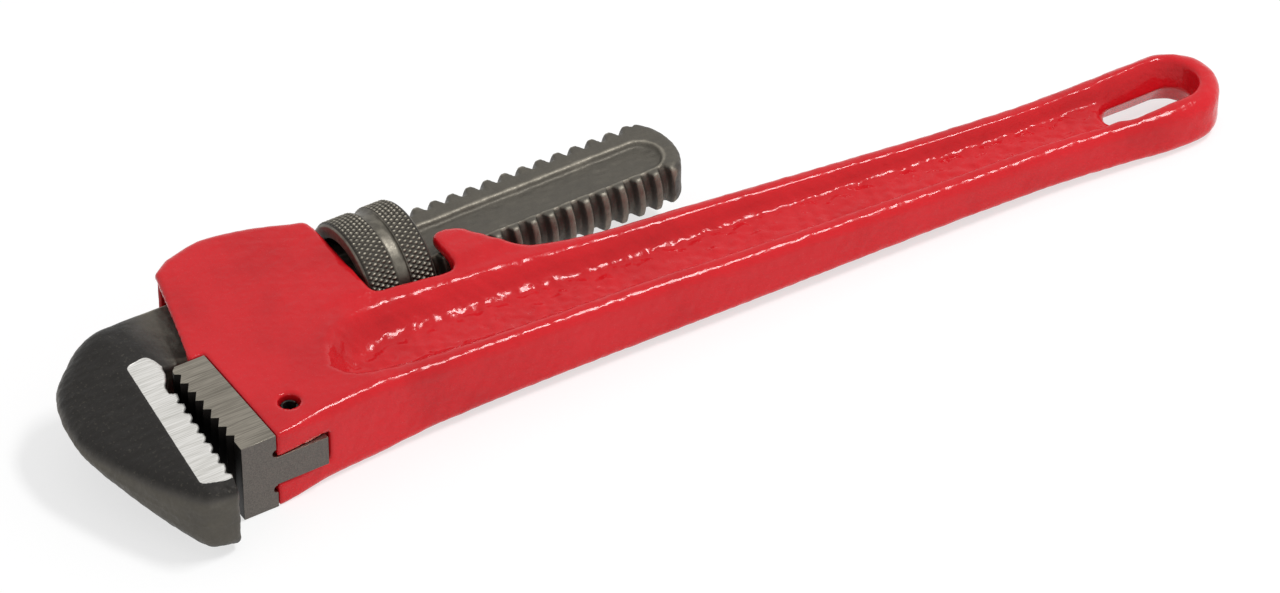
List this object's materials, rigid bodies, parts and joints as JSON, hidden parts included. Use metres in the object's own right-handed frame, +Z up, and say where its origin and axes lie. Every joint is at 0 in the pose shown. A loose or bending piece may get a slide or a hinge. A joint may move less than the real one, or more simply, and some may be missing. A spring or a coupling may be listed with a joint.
{
  "type": "straight pipe wrench",
  "caption": "Straight pipe wrench with a cast I-section handle, toothed heel jaw, sliding hook jaw on a coarse-thread shank and a knurled adjusting nut.",
  "frame": {"origin": "below the middle of the bounding box, at the height of the adjusting nut's lowest point, with the housing's two side faces level", "axes": "+X from the jaws to the handle's end, along the hook jaw's shank; +Y from the heel jaw's open end to the shank; +Z up, square to the housing's side faces"},
  "size_m": [0.3108, 0.0852, 0.0324],
  "materials": {
    "red_enamel": "glossy red enamel over an orange-peel casting",
    "forged_steel": "dark forged and heat-treated, with a ground tooth strip",
    "ground_steel": "ground steel with milled teeth",
    "blackened_steel": "blackened, diamond knurled on the nut",
    "spring_steel": "bright spring steel"
  },
  "bodies": {
    "frame": {"handle": "red_enamel", "heel_jaw": "ground_steel", "heel_jaw_pin": "blackened_steel", "coil_spring": "spring_steel"},
    "rocker": {"flat_spring": "spring_steel"},
    "jaw": {"hook_jaw": "forged_steel"},
    "nut": {"adjusting_nut": "blackened_steel"}
  },
  "joints": [
    {"name": "jaw_rock", "type": "hinge", "parent": "frame", "child": "rocker", "pos_m": [-0.07118, 0.01936, 0.0162], "axis": [0, 0, 1], "range_deg": [-2.5, 0.5], "stiffness_Nm_per_rad": 12, "deforming": ["flat_spring", "coil_spring"]},
    {"name": "jaw_slide", "type": "slide", "parent": "rocker", "child": "jaw", "axis": [-1, 0, 0], "range_m": [0, 0.06]},
    {"name": "nut_spin", "type": "hinge", "parent": "rocker", "child": "nut", "pos_m": [-0.07118, 0.01936, 0.0162], "axis": [1, 0, 0], "range_deg": [-5, 4260]}
  ],
  "couplings": [
    {"joint": "nut_spin", "follows": "jaw_slide", "rad_per_m": 1236.8}
  ]
}
